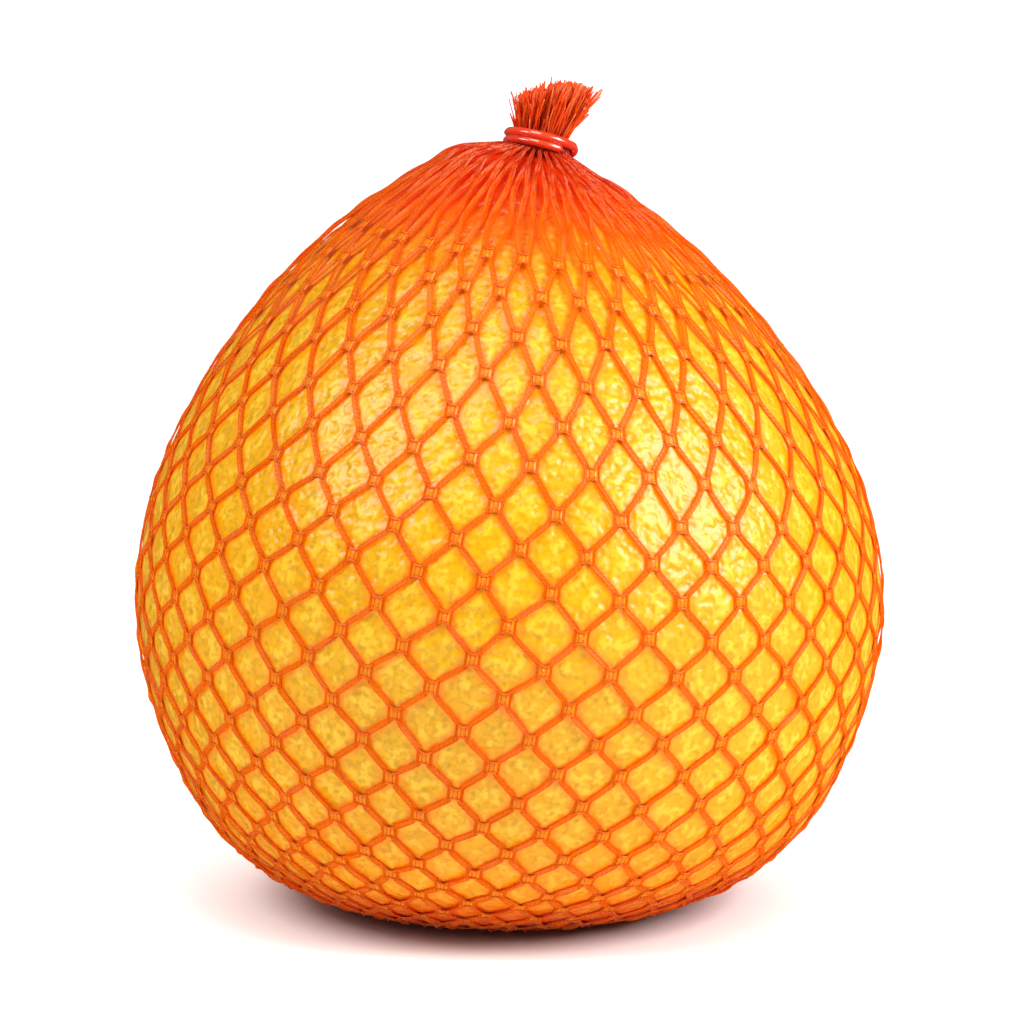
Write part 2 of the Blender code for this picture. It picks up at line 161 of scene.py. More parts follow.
def outline_tables(steps=24):
    """Angle from straight down, distance from the middle and length up the outline.

    The outline is a cubic for each span between its points, whose slope at a point is the mean of the slopes
    on both sides, weighed by the other span's length."""
    points = np.array(OUTLINE)
    spans = np.linalg.norm(np.diff(points, axis=0), axis=1)
    slopes = np.diff(points, axis=0) / spans[:, None]
    inner = slopes[:-1] * spans[1:, None] + slopes[1:] * spans[:-1, None]
    inner /= (spans[:-1] + spans[1:])[:, None]
    tangents = np.vstack([(1.0, 0.0), inner, (-1.0, 0.0)])
    t = np.linspace(0.0, 1.0, steps, endpoint=False)[None, :, None]
    side = (
        (1 + 2 * t) * (1 - t) ** 2 * points[:-1, None]
        + t * (1 - t) ** 2 * spans[:, None, None] * tangents[:-1, None]
        + t * t * (3 - 2 * t) * points[1:, None]
        + t * t * (t - 1) * spans[:, None, None] * tangents[1:, None]
    ).reshape(-1, 2)
    across = np.linspace(0.0, REST_RADIUS, 30, endpoint=False)
    base = np.stack([across, np.zeros_like(across)], axis=1)
    curve = np.vstack([base, side, points[-1:]])
    drop = MIDDLE_HEIGHT - curve[:, 1]
    along = np.concatenate([[0.0], np.cumsum(np.linalg.norm(np.diff(curve, axis=0), axis=1))])
    return np.arctan2(curve[:, 0], drop), np.hypot(curve[:, 0], drop), along


OUTLINE_ANGLE, OUTLINE_DISTANCE, OUTLINE_ALONG = outline_tables()


def shifted(points):
    """The same points, moved to the side by the shift of the fruit's top at their height."""
    shift = TOP_SHIFT * smooth_step(points[..., 2], *TOP_SHIFT_HEIGHTS)
    return points + np.stack([shift, np.zeros_like(shift), np.zeros_like(shift)], axis=-1)


def sag_at(turn, along):
    """How far the net hangs down at its sides: SAG sin^2(pi along / reach) (1 - cos 2 turn) / 2."""
    sag = SAG * np.sin(np.pi * np.clip(along / SAG_REACH, 0.0, 1.0)) ** 2
    return sag * (0.5 - 0.5 * np.cos(2 * turn))


def tilts_at(angle):
    """The net's tilts to the side and to the back, at an angle from straight down."""
    share = smooth_step(angle, *NECK_ANGLES)
    return NET_TILT + (NECK_TILT - NET_TILT) * share, NECK_BACK_TILT * share


def sleeve_point(turn, along, depth):
    """Points of the net's sleeve at angles round it from the front and lengths along it from its closed end.

    The outline gives the angle from straight down that belongs to the length and its sag, and a ray in that
    angle and turn is leaned over by the tilts. The outline's distance in the leaned direction, less the
    depth, gives the point, which the top's shift then moves."""
    angle = np.interp(along + sag_at(turn, along), OUTLINE_ALONG, OUTLINE_ANGLE)
    tilt, back = tilts_at(angle)
    x = np.sin(angle) * np.sin(turn)
    y = -np.sin(angle) * np.cos(turn)
    z = -np.cos(angle)
    x, z = x * np.cos(tilt) + z * np.sin(tilt), z * np.cos(tilt) - x * np.sin(tilt)
    y, z = y * np.cos(back) + z * np.sin(back), z * np.cos(back) - y * np.sin(back)
    distance = np.interp(np.arccos(np.clip(-z, -1.0, 1.0)), OUTLINE_ANGLE, OUTLINE_DISTANCE) - depth
    return shifted(np.stack([x * distance, y * distance, z * distance + MIDDLE_HEIGHT], axis=-1))


def sleeve_place(points):
    """Turn and length of points that lie near the sleeve: sleeve_point's steps backwards. The tilts and the
    sag depend on the answer, so they are worked out again a few times from the last one."""
    place = points - np.array([0.0, 0.0, MIDDLE_HEIGHT])
    place[:, 0] -= TOP_SHIFT * smooth_step(points[:, 2], *TOP_SHIFT_HEIGHTS)
    place = unit(place)
    angle = np.arccos(np.clip(-place[:, 2], -1.0, 1.0))
    for _ in range(4):
        tilt, back = tilts_at(angle)
        y = place[:, 1] * np.cos(back) - place[:, 2] * np.sin(back)
        z = place[:, 2] * np.cos(back) + place[:, 1] * np.sin(back)
        x, z = place[:, 0] * np.cos(tilt) - z * np.sin(tilt), z * np.cos(tilt) + place[:, 0] * np.sin(tilt)
        angle = np.arccos(np.clip(-z, -1.0, 1.0))
    turn = np.arctan2(x, -y)
    reached = np.interp(angle, OUTLINE_ANGLE, OUTLINE_ALONG)
    along = reached
    for _ in range(4):
        along = reached - sag_at(turn, along)
    return turn, along


def sleeve_normal(turn, along):
    """Outward directions: the cross product of the sleeve's steps round it and up it."""
    small_turn, small_length = 0.01, 0.0008
    around = sleeve_point(turn + small_turn, along, 0.0) - sleeve_point(turn - small_turn, along, 0.0)
    up = sleeve_point(turn, along + small_length, 0.0) - sleeve_point(turn, along - small_length, 0.0)
    return unit(np.cross(around, up))


def neck_frame():
    """Foot of the neck, and its directions across to +X, to the front and up."""
    up = unit(np.array([math.tan(NECK_LEAN), math.tan(NECK_BACK_LEAN), 1.0]))
    foot = sleeve_point(np.array(0.0), OUTLINE_ALONG[-1], 0.0) - NECK_SINK * up
    front = unit(np.array([0.0, -1.0, 0.0]) + up * up[1])
    return foot, np.cross(up, front), front, up


def row_lengths():
    """Lengths up the sleeve of every row of knots, from the closed end to the neck."""
    seen = np.array(SEEN_ROWS) / 1000
    below = (seen[0] + ROW_GROWTH_OFFSET) / ROW_GROWTH ** np.arange(ROWS_BELOW, 0, -1) - ROW_GROWTH_OFFSET
    above = (seen[-1] + ROW_GROWTH_OFFSET) * ROW_GROWTH ** np.arange(1, ROWS_ABOVE + 1) - ROW_GROWTH_OFFSET
    return np.concatenate([below, seen, above])


def new_piece(name, points, faces, finish):
    """An object at the origin, shaded smooth, whose faces are a list of quads and triangles."""
    data = bpy.data.meshes.new(name)
    data.from_pydata(points.tolist(), [], faces)
    data.polygons.foreach_set("use_smooth", np.ones(len(data.polygons), dtype=bool))
    data.materials.append(finish)
    data.update()
    obj = bpy.data.objects.new(name, data)
    bpy.context.scene.collection.objects.link(obj)
    return obj


def mark(obj, name, values):
    """A number for each point, which the piece's finish reads by name."""
    layer = obj.data.attributes.new(name, "FLOAT", "POINT")
    layer.data.foreach_set("value", np.ascontiguousarray(values, dtype=np.float32).ravel())


def mark_tubes(obj, name, values, shape, ends=0.0):
    """The same for tubes, by (tubes, stations, sides), and then for the middles of their two ends."""
    spread = np.broadcast_to(values, shape).ravel()
    mark(obj, name, np.concatenate([spread, np.broadcast_to(ends, 2 * shape[0])]))


def closed_tubes(points):
    """Points and faces of closed tubes, from points as (tubes, stations, sides, 3): quads along them, and a
    middle point and a fan of triangles at both ends of every tube."""
    tubes, stations, sides = points.shape[:3]
    tube, station, side = np.indices((tubes, stations - 1, sides))
    here = (tube * stations + station) * sides
    after = (side + 1) % sides
    quads = np.stack([here + side, here + after, here + sides + after, here + sides + side], axis=-1)
    tube, side = np.indices((tubes, sides))
    after = (side + 1) % sides
    count = tubes * stations * sides
    first = tube * stations * sides
    last = first + (stations - 1) * sides
    starts = np.stack([first + after, first + side, count + tube], axis=-1).reshape(-1, 3)
    ends = np.stack([last + side, last + after, count + tubes + tube], axis=-1).reshape(-1, 3)
    middles = np.concatenate([points[:, 0].mean(axis=1), points[:, -1].mean(axis=1)])
    all_points = np.concatenate([points.reshape(-1, 3), middles])
    return all_points, [*quads.reshape(-1, 4).tolist(), *starts.tolist(), *ends.tolist()]


def round_profile(corners):
    """A circle's points, counter-clockwise."""
    corner = 2 * math.pi * np.arange(corners) / corners
    return np.stack([np.cos(corner), np.sin(corner)], axis=1)


def sweep(path, normals, profile, width, height):
    """Carries a flat profile along paths: point = path + sideways u width + outward v height.

    path and normals are (tubes, stations, 3). Sideways is the cross product of the path's own direction and
    the outward one. The profile is (sides, 2), counter-clockwise with v outwards."""
    ahead = unit(np.gradient(path, axis=1))
    sideways = unit(np.cross(ahead, normals))
    outward = np.cross(sideways, ahead)
    u = profile[:, 0][None, None, :, None]
    v = profile[:, 1][None, None, :, None]
    return (
        path[:, :, None]
        + sideways[:, :, None] * u * width[..., None, None]
        + outward[:, :, None] * v * height[..., None, None]
    )


class Number:
    """A shader socket that carries a number. Arithmetic on it adds Math nodes."""

    def __init__(self, finish, socket):
        self.finish = finish
        self.socket = socket

    def math(self, operation, *numbers):
        """One Math node on the numbers, in the order given."""
        return self.finish.number("ShaderNodeMath", {"operation": operation}, dict(enumerate(numbers)))

    def __add__(self, other):
        return self.math("ADD", self, other)

    __radd__ = __add__

    def __sub__(self, other):
        return self.math("SUBTRACT", self, other)

    def __rsub__(self, other):
        return self.math("SUBTRACT", other, self)

    def __mul__(self, other):
        return self.math("MULTIPLY", self, other)

    __rmul__ = __mul__

    def size(self):
        """Without its sign."""
        return self.math("ABSOLUTE", self)

    def sine(self):
        """Its sine, as an angle in radians."""
        return self.math("SINE", self)

    def between(self, start, end):
        """0 up to start, 1 from end on, and smooth between them."""
        sockets = {"Value": self, "From Min": start, "From Max": end}
        return self.finish.number("ShaderNodeMapRange", {"interpolation_type": "SMOOTHSTEP"}, sockets)


class Finish:
    """A procedural material: nodes are added to it one by one."""

    def __init__(self, name):
        self.material = bpy.data.materials.new(name)
        self.material.use_nodes = True
        self.tree = self.material.node_tree
        self.tree.nodes.clear()

    def node(self, kind, settings=None, sockets=None, output=0):
        """Adds a node, sets it up, fills or links its sockets, and returns one output."""
        made = self.tree.nodes.new(kind)
        for name, value in (settings or {}).items():
            setattr(made, name, value)
        for key, value in (sockets or {}).items():
            self.fill(self.found(made.inputs, key), value)
        return self.found(made.outputs, output) if made.outputs else None

    @staticmethod
    def found(sockets, key):
        """A socket by its place, its identifier or its name."""
        if isinstance(key, int):
            return sockets[key]
        for socket in sockets:
            if socket.identifier == key:
                return socket
        return next(s for s in sockets if s.name == key and s.enabled)

    def fill(self, socket, value):
        """Links a socket to another node's output, or gives it a number or a colour."""
        if isinstance(value, Number):
            value = value.socket
        if isinstance(value, bpy.types.NodeSocket):
            self.tree.links.new(value, socket)
        elif socket.type == "RGBA":
            socket.default_value = (*value, 1.0)
        else:
            socket.default_value = value

    def number(self, kind, settings=None, sockets=None, output=0):
        """A node whose output is a number that can be reckoned with."""
        return Number(self, self.node(kind, settings, sockets, output))

    def place(self):
        """Object coordinates, in metres."""
        return self.node("ShaderNodeTexCoord", output="Object")

    def marked(self, name):
        """The number that a piece's points carry under a name."""
        return self.number("ShaderNodeAttribute", {"attribute_name": name}, output="Fac")

    def blend(self, share, first, second):
        """A colour between two, by a share from 0 to 1."""
        sockets = {"Factor_Float": share, "A_Color": first, "B_Color": second}
        return self.node("ShaderNodeMix", {"data_type": "RGBA"}, sockets, "Result_Color")

    def noise(self, scale, detail=2.0, roughness=0.5, place=None):
        """Noise from 0 to 1 over the object's own space, or over other coordinates."""
        sockets = {"Vector": place or self.place(), "Scale": scale, "Detail": detail, "Roughness": roughness}
        return self.number("ShaderNodeTexNoise", None, sockets, "Fac")

    def bump(self, height, strength, distance):
        """Normals bent by a height, where 1 stands for the distance in metres."""
        sockets = {"Height": height, "Strength": strength, "Distance": distance}
        return self.node("ShaderNodeBump", None, sockets)

    def surface(self, colour, roughness, ior, normal=None, others=None):
        """A Principled shader."""
        sockets = {"Base Color": colour, "Roughness": roughness, "IOR": ior, **(others or {})}
        if normal is not None:
            sockets["Normal"] = normal
        return self.node("ShaderNodeBsdfPrincipled", None, sockets)

    def plastic(self, colour, roughness, through, share, normal=None):
        """The net's plastic: a glossy surface, mixed by a share with the light that comes through it."""
        glossy = self.surface(colour, roughness, NET_IOR, normal)
        glow = self.node("ShaderNodeBsdfTranslucent", None, {"Color": through})
        return self.node("ShaderNodeMixShader", None, {0: share, 1: glossy, 2: glow})

    def done(self, shader):
        """Ends in the shader and returns the material."""
        self.node("ShaderNodeOutputMaterial", None, {"Surface": shader})
        return self.material


def peel_finish(settings):
    """Waxy citrus peel: mottled golden yellow with olive oil glands. Beside the net's tapes it carries a
    painted orange shadow of them, at the neck painted deep red shade between the crowded tapes, and it is
    redder over the floor, where the net crowds together."""
    finish = Finish("waxy_pomelo_peel")
    place = finish.place()
    broad = finish.noise(28.0, 0.0)
    mottle = finish.noise(330.0, 1.0, 0.6)
    grain = finish.noise(820.0, 1.0)
    sockets = {"Vector": place, "Scale": 480.0, "Randomness": 1.0}
    glands = finish.number("ShaderNodeTexVoronoi", {"feature": "F1"}, sockets, "Distance")
    height = finish.number("ShaderNodeSeparateXYZ", None, {"Vector": place}, "Z")
    colour = finish.blend(broad.between(0.35, 0.7) * 0.5, settings.peel_colour, (0.86, 0.37, 0.001))
    colour = finish.blend(mottle.between(0.46, 0.60) * 0.85, colour, (0.95, 0.54, 0.020))
    colour = finish.blend(grain.between(0.48, 0.62) * 0.6, colour, (0.64, 0.30, 0.0))
    spots = (1.0 - glands.between(0.10, 0.42)) * broad.between(0.1, 0.5)
    colour = finish.blend(spots * 0.75, colour, settings.gland_colour)
    # Painted shadow: the orange shadow that the translucent tapes cast on the peel beside them, by nearness
    # to a tape.
    colour = finish.blend(finish.marked("painted_net_light") * settings.painted_light_share, colour, settings.painted_light_colour)
    # Painted shade: deep red in the gaps between the crowded tapes at the neck.
    near_neck = height.between(0.132, 0.158)
    colour = finish.blend(near_neck * 0.95, colour, settings.painted_neck_shade_colour)
    near_floor = 1.0 - height.between(0.002, 0.045)
    colour = finish.blend(near_floor * 0.40, colour, (0.90, 0.13, 0.0))
    pressed = 1.0 - height.between(0.003, 0.016)
    colour = finish.blend(pressed * 0.85, colour, (0.85, 0.045, 0.0))
    pits = glands.between(0.0, 0.6) * 0.5 + mottle.between(0.3, 0.7)
    normal = finish.bump(pits, 0.65, settings.pit_depth)
    return finish.done(finish.surface(colour, 0.25 + mottle * 0.16, 1.5, normal))


def tape_finish(settings):
    """Translucent netting tape: a clear orange middle between two darker rims, crossed by the loops of its
    stitches. Where the net is gathered it is redder, with relief along it and painted glints and painted
    shade on it as light and dark streaks."""
    finish = Finish("red_netting_tape")
    across, along, shade, crowd, knot, low, gathered = (
        finish.marked(name) for name in ("across", "along", "shade", "crowd", "knot", "low", "gathered")
    )
    rim = across.size().between(0.70, 0.92) * (1.0 - knot * 0.8)
    stitch = (along * (2 * math.pi / settings.stitch_length) + across * 3.0).sine()
    thread = stitch.between(0.2, 0.95)
    sockets = {"X": across * 1.7, "Y": along * 330.0, "Z": shade * 9.0}
    fibres_and_glints = finish.noise(1.0, 1.0, 0.6, finish.node("ShaderNodeCombineXYZ", None, sockets))

    dark = finish.blend(crowd, settings.rim_colour, (0.72, 0.010, 0.0))
    light = finish.blend(shade.between(0.4, 1.0) * 0.6, settings.tape_colour, (1.0, 0.46, 0.11))
    light = finish.blend(knot, light, (1.0, 0.30, 0.001))
    light = finish.blend(crowd * 0.9, light, (1.0, 0.060, 0.003))
    colour = finish.blend(rim, light, dark)
    colour = finish.blend(thread * (crowd * 0.45 + 0.15), colour, dark)
    colour = finish.blend(low * 0.6, colour, (0.96, 0.055, 0.0))
    # Painted glints and painted shade: pink and deep red streaks along the gathered tapes, which also bend
    # the normals.
    colour = finish.blend(fibres_and_glints.between(0.52, 0.62) * gathered * 0.8, colour, (1.0, 0.32, 0.16))
    colour = finish.blend((1.0 - fibres_and_glints.between(0.36, 0.47)) * gathered * 0.75, colour, (0.66, 0.008, 0.0))

    normal = finish.bump(thread + fibres_and_glints * gathered * 1.5, 0.7, 0.00018)
    body = finish.plastic(colour, 0.26, (1.0, 0.17, 0.003), 0.33, normal)
    clear = finish.node("ShaderNodeBsdfTransparent", None, {"Color": settings.light_colour})
    solid = 1.0 - (1.0 - rim * 0.6) * settings.clearness * (1.0 - crowd * 0.6) * (1.0 - low * 0.7)
    return finish.done(finish.node("ShaderNodeMixShader", None, {0: solid, 1: clear, 2: body}))


def loop_finish():
    """The cords that close a knot above and below: the same plastic, redder where it is drawn tight."""
    finish = Finish("red_netting_loops")
    worn = finish.noise(500.0)
    colour = finish.blend(worn.between(0.35, 0.7) * 0.6, (0.95, 0.13, 0.0), (1.0, 0.26, 0.002))
    return finish.done(finish.plastic(colour, 0.3, (1.0, 0.09, 0.002), 0.25))


def web_finish(settings):
    """The knitted middle of a knot: orange, with darker crossed threads drawn by how far across and up."""
    finish = Finish("orange_netting_web")
    across = finish.marked("across")
    upward = finish.marked("upward")
    first = 1.0 - (across - upward).size().between(0.08, 0.34)
    second = 1.0 - (across + upward).size().between(0.08, 0.34)
    threads = first.math("MAXIMUM", first, second)
    edge = upward.size().between(0.6, 1.0)
    colour = finish.blend(threads * 0.4, (1.0, 0.30, 0.001), (0.97, 0.19, 0.0))
    colour = finish.blend(edge * 0.3, colour, settings.rim_colour)
    normal = finish.bump(threads, 0.6, 0.0002)
    return finish.done(finish.plastic(colour, 0.3, (1.0, 0.30, 0.001), 0.2, normal))


def cut_end_finish():
    """Cut strands of the net's plastic, with painted shade and glints: deep red at the clip, where they are
    bunched, orange at the tips, and the lightest strands pink.
    """
    finish = Finish("red_netting_cut_ends")
    shade = finish.marked("shade")
    along = finish.marked("along")
    colour = finish.blend(shade, (0.96, 0.035, 0.0), (1.0, 0.20, 0.010))
    # Painted shade: deep red towards the clip, where the strands are bunched, orange towards the tips.
    colour = finish.blend(along.between(0.4, 1.0) * 0.6, colour, (1.0, 0.18, 0.008))
    # Painted glints: the lightest strands turn pink.
    colour = finish.blend(shade.between(0.75, 1.0) * 0.7, colour, (1.0, 0.36, 0.10))
    return finish.done(finish.plastic(colour, 0.26, (1.0, 0.10, 0.004), 0.5))


def clip_finish(settings):
    """Glossy red coating on wire, with a faint unevenness that bends its highlights."""
    finish = Finish("glossy_red_clip_coating")
    uneven = finish.noise(240.0)
    colour = finish.blend(uneven.between(0.3, 0.7) * 0.5, settings.colour, (0.90, 0.075, 0.015))
    normal = finish.bump(uneven, 0.3, 0.0002)
    coat = {"Coat Weight": 1.0, "Coat Roughness": 0.06}
    return finish.done(finish.surface(colour, 0.14 + uneven * 0.10, 1.6, normal, coat))


def a_length(name, description, default):
    """A setting in metres."""
    return bpy.props.FloatProperty(name=name, description=description, default=default, subtype="DISTANCE")


def an_angle(name, description, degrees):
    """A setting in radians, given in degrees."""
    default = math.radians(degrees)
    return bpy.props.FloatProperty(name=name, description=description, default=default, subtype="ANGLE")


def a_share(name, description, default):
    """A setting from 0 to 1."""
    return bpy.props.FloatProperty(
        name=name, description=description, default=default, min=0, max=1, subtype="FACTOR"
    )


def a_number(name, description, default):
    """A plain number."""
    return bpy.props.FloatProperty(name=name, description=description, default=default)


def a_count(name, description, default, least):
    """A whole number."""
    return bpy.props.IntProperty(name=name, description=description, default=default, min=least)


def a_colour(name, description, default):
    """A linear colour."""
    return bpy.props.FloatVectorProperty(name=name, description=description, default=default, subtype="COLOR")


class PomeloFruitSettings(bpy.types.PropertyGroup):
    """The fruit's peel."""

    depth: a_length("Depth", "The peel lies this far inside the net's outline", 0.00096)
    shoulder_depth: a_length("Shoulder depth", "And this much further under the gathered top", 0.0008)
    waves: a_length("Waves", "Height of the shallow waves in the peel", 0.00010)
    hollow: a_length("Hollow", "Depth of the dip at the blossom end", 0.0055)
    pit_depth: a_length("Pits", "Depth of the pits over the oil glands", 0.00045)
    peel_colour: a_colour("Peel", "Golden yellow of the peel", (0.80, 0.405, 0.000))
    gland_colour: a_colour("Glands", "Olive of the oil glands", (0.56, 0.31, 0.000))
    # Painted shadow: the orange shadow of the translucent tapes on the peel, painted into its colour.
    painted_light_share: a_share("Warm light", "How much the net's orange light shows on the peel beside it", 0.85)
    painted_light_reach: a_length("Warm light's reach", "How far from a tape's middle it falls off", 0.00125)
    painted_light_colour: a_colour("Warm light's colour", "Peel beside and under a tape", (0.95, 0.25, 0.0))
    # Painted shade in the gaps between the crowded tapes at the neck.
    painted_neck_shade_colour: a_colour("Shoulder", "Peel between crowded tapes", (0.86, 0.020, 0.0))


class PomeloNetSettings(bpy.types.PropertyGroup):
    """The knitted net and its cut ends."""

    columns: a_count("Columns", "Meshes round the sleeve", 36, 8)
    first_turn: an_angle("First turn", "A knot of the even rows, round from the front", -4.85)
    tape_width: a_length("Tape width", "Of one tape between knots", 0.00118)
    tape_height: a_length("Tape height", "At the tape's rims", 0.00036)
    neck_tape_width: a_length("Tape width in the neck", "Of one tape under the clip", 0.00055)
    depth: a_length("Depth", "The tapes' undersides lie this far inside the outline", 0.00080)
    knot_height: a_length("Knot height", "How far two tapes run side by side at a knot", 0.0031)
    knot_width: a_length("Knot width", "Over both tapes", 0.0032)
    cord: a_length("Cord", "Half the thickness of the cords that close a knot", 0.00024)
    stitch_length: a_length("Stitch length", "Between two loops along a tape", 0.0011)
    twist: an_angle("Twist", "How far the tapes turn on edge between knots", 17)
    unevenness: a_length("Unevenness", "How far knots sit off their even places", 0.00026)
    clearness: a_share("Clearness", "How much light passes the middle of a tape", 0.60)
    cut_ends: a_count("Cut ends", "Strands in the tuft", 760, 10)
    seed: a_count("Seed", "Of every random draw in the net", 11, 0)
    rim_colour: a_colour("Rims", "Red orange of the tapes' rims", (0.90, 0.145, 0.001))
    tape_colour: a_colour("Tape", "Clear orange of the tapes' middles", (1.0, 0.43, 0.008))
    light_colour: a_colour("Light", "What a tape lets through", (1.0, 0.64, 0.02))


class PomeloClipSettings(bpy.types.PropertyGroup):
    """The wire clip."""

    radius: a_length("Radius", "From the neck's axis to the wire's middle", 0.0072)
    tuck: a_length("Tuck", "How much closer the lower turn lies", 0.0002)
    wire: a_length("Wire", "Thickness of the wire", 0.0016)
    foot: a_length("Foot", "Its lower turn above the foot of the neck", 0.0004)
    pitch: a_length("Pitch", "Between its two turns", 0.0016)
    arch: a_length("Arch", "It stands this much higher at the front", 0.0009)
    face: an_angle("Face", "How far up its flattened outer side looks", 57)
    colour: a_colour("Colour", "Red of the coating", (0.80, 0.030, 0.010))


class PomeloStageSettings(bpy.types.PropertyGroup):
    """Camera, lights and floor."""

    distance: a_length("Distance", "Camera to the fruit's middle", 0.95)
    elevation: an_angle("Elevation", "Camera above the horizon", 9.0)
    lens: a_number("Lens", "Focal length in millimetres", 157.4)
    key: a_number("Key light", "Power of the right softbox", 11.0)
    fill: a_number("Fill light", "Power of the left softbox", 6.4)
    top: a_number("Top light", "Power of the overhead light", 3.5)
    around: a_number("Room light", "Strength of the white room", 0.10)


def fruit_mesh(settings, turns=440, rings=222):
    """The peel, turned about its upright axis: radius and height = (outline's distance - depth + waves)
    times (sin, -cos) of the angle from straight down. The waves are a sum of sines of the place over the
    surface, level at the top. At the base the height gains hollow exp(-(r / 17 mm)^2)."""
    angle = np.linspace(0.0, math.pi, rings + 1)[1:-1]
    turn = np.linspace(0.0, 2 * math.pi, turns, endpoint=False)
    angle, turn = np.meshgrid(angle, turn, indexing="ij")
    under_top = smooth_step(angle, math.radians(120), math.radians(155))
    depth = settings.depth + settings.shoulder_depth * under_top
    x, y, z = np.sin(angle) * np.sin(turn), -np.sin(angle) * np.cos(turn), -np.cos(angle)
    place = np.stack([x, y, z], axis=-1)
    draw = np.random.default_rng(PEEL_SEED)
    waves = np.zeros_like(angle)
    for _ in range(PEEL_WAVES):
        direction = unit(draw.normal(size=3)) * draw.uniform(14, 60)
        waves += np.sin(place @ direction + draw.uniform(0, 2 * math.pi))
    waves *= settings.waves / math.sqrt(PEEL_WAVES / 2) * (1.0 - smooth_step(np.cos(angle), 0.93, 1.0))
    distance = np.interp(angle, OUTLINE_ANGLE, OUTLINE_DISTANCE) - depth + waves
    radius = distance * np.sin(angle)
    height = -distance * np.cos(angle)
    dip = settings.hollow * np.exp(-((radius / HOLLOW_REACH) ** 2))
    height = np.where(angle < math.pi / 2, height + dip, height)
    points = np.stack([radius * np.sin(turn), -radius * np.cos(turn), height + MIDDLE_HEIGHT], axis=-1)
    points, faces = closed_tubes(points[None])
    low = OUTLINE_DISTANCE[0] - settings.depth - settings.hollow
    high = OUTLINE_DISTANCE[-1] - settings.depth - settings.shoulder_depth
    points[-2:] = [[0.0, 0.0, MIDDLE_HEIGHT - low], [0.0, 0.0, MIDDLE_HEIGHT + high]]
    return shifted(points), faces


def soft_clip(value, softness):
    """The mean of clip(x, -1, 1) over x within softness of the value."""
    def area(x):
        return np.where(np.abs(x) < 1, 0.5 * x * x, np.abs(x) - 0.5)

    return (area(value + softness) - area(value - softness)) / (2 * softness)


class NetLayout:
    """Where the tapes and knots of the net run, worked out once for the pieces that follow them."""

    def __init__(self, settings):
        self.settings = settings
        self.columns = settings.columns
        self.pitch = 2 * math.pi / self.columns
        self.rows = row_lengths()
        draw = np.random.default_rng(settings.seed)
        shape = (len(self.rows), self.columns)
        self.knot_shift_up = draw.normal(0.0, settings.unevenness, shape)
        self.knot_shift_round = draw.normal(0.0, settings.unevenness, shape)

    def radius(self, along):
        """Distance from the sleeve's own axis, at a length along it."""
        angle = np.interp(along, OUTLINE_ALONG, OUTLINE_ANGLE)
        return np.interp(along, OUTLINE_ALONG, OUTLINE_DISTANCE) * np.sin(angle)

    def spacing(self, along):
        """Between neighbouring tapes' mean places."""
        return math.pi * np.maximum(self.radius(along), 0.0005) / self.columns

    def knot_offset(self, along):
        """Half the distance between the middles of the two tapes of a knot, as an angle round the sleeve."""
        settings = self.settings
        wanted = 0.5 * (settings.knot_width - settings.tape_width)
        quarter = 0.5 * self.spacing(along)
        return np.minimum(wanted, 0.62 * quarter) / np.maximum(self.radius(along), 0.0005)

    def crowding(self, along):
        """0 where the tapes lie well apart, and 1 where they are gathered."""
        return 1.0 - smooth_step(self.spacing(along), *CROWDED_SPACINGS)

    def swing(self, position):
        """Where a tape stands between the sides of its lane, from -1 to 1, at a place counted in rows.

        It is softclip((0.5 - p) / (0.5 - q)), whose sign changes from row to row, where p is the share of the
        way to the next row, and q the share that the tape runs upright beside its neighbour at a knot."""
        step = np.interp(position, np.arange(len(self.rows)), np.gradient(self.rows))
        upright = np.minimum(0.5 * self.settings.knot_height / step, 0.25)
        way = soft_clip((0.5 - position % 1.0) / (0.5 - upright), 0.22)
        return way * (-1.0) ** (np.floor(position).astype(int) % 2)

    def nearness(self, turn, along, reach):
        """1 right under a tape's middle, and falling off beside it as exp(-(distance / reach)^2)."""
        position = np.interp(along, self.rows, np.arange(len(self.rows)))
        pitch = self.pitch
        swing = (0.25 * pitch - self.knot_offset(along)) * self.swing(position)
        radius = self.radius(along)
        slope = 0.5 * pitch * radius / np.interp(along, self.rows, np.gradient(self.rows))
        nearest = np.full(turn.shape, 1.0)
        for side in (-1.0, 1.0):
            off = (turn - self.settings.first_turn - side * swing) / pitch - 0.5 - 0.25 * side
            off = np.abs(off - np.round(off)) * pitch * radius / np.hypot(1.0, slope)
            nearest = np.minimum(nearest, off)
        return np.exp(-((nearest / reach) ** 2))

    def tape_paths(self):
        """Turn and length of every tape, as (tapes, stations), and the share of the way to the next row.

        Between two rows a tape goes from one side of its lane to the other: turn = mean + amplitude swing.
        Every two tapes draw together by 0.13 pitch crowding^2, and knots pull their tapes along."""
        count = len(self.rows)
        position = (np.arange(count - 1)[:, None] + INTERVAL_STATIONS[None, :]).ravel()
        position = np.append(position, count - 1.0)
        along = np.interp(position, np.arange(count), self.rows)
        part = position % 1.0
        tapes = np.arange(2 * self.columns)
        side = np.where(tapes % 2 == 0, -1.0, 1.0)
        mean = self.settings.first_turn + 0.25 * self.pitch + 0.5 * self.pitch * tapes
        swing = (0.25 * self.pitch - self.knot_offset(along)) * self.swing(position)
        bunching = 0.13 * self.pitch * self.crowding(along) ** 2
        turn = mean[:, None] + side[:, None] * (swing - bunching)[None, :]
        lower = np.floor(position).astype(int)
        upper = np.minimum(lower + 1, count - 1)
        shift_up = np.zeros_like(turn)
        shift_round = np.zeros_like(turn)
        for row, share in ((lower, 1.0 - part), (upper, part)):
            knot = ((tapes[:, None] + (row[None, :] % 2 == 0)) // 2) % self.columns
            weight = share * share * (3.0 - 2.0 * share)
            shift_up += self.knot_shift_up[row[None, :], knot] * weight
            shift_round += self.knot_shift_round[row[None, :], knot] * weight
        calm = 1.0 - self.crowding(along)
        turn = turn + shift_round * calm / np.maximum(self.radius(along), 0.004)
        length = along[None, :] + shift_up * calm
        return turn, length, part


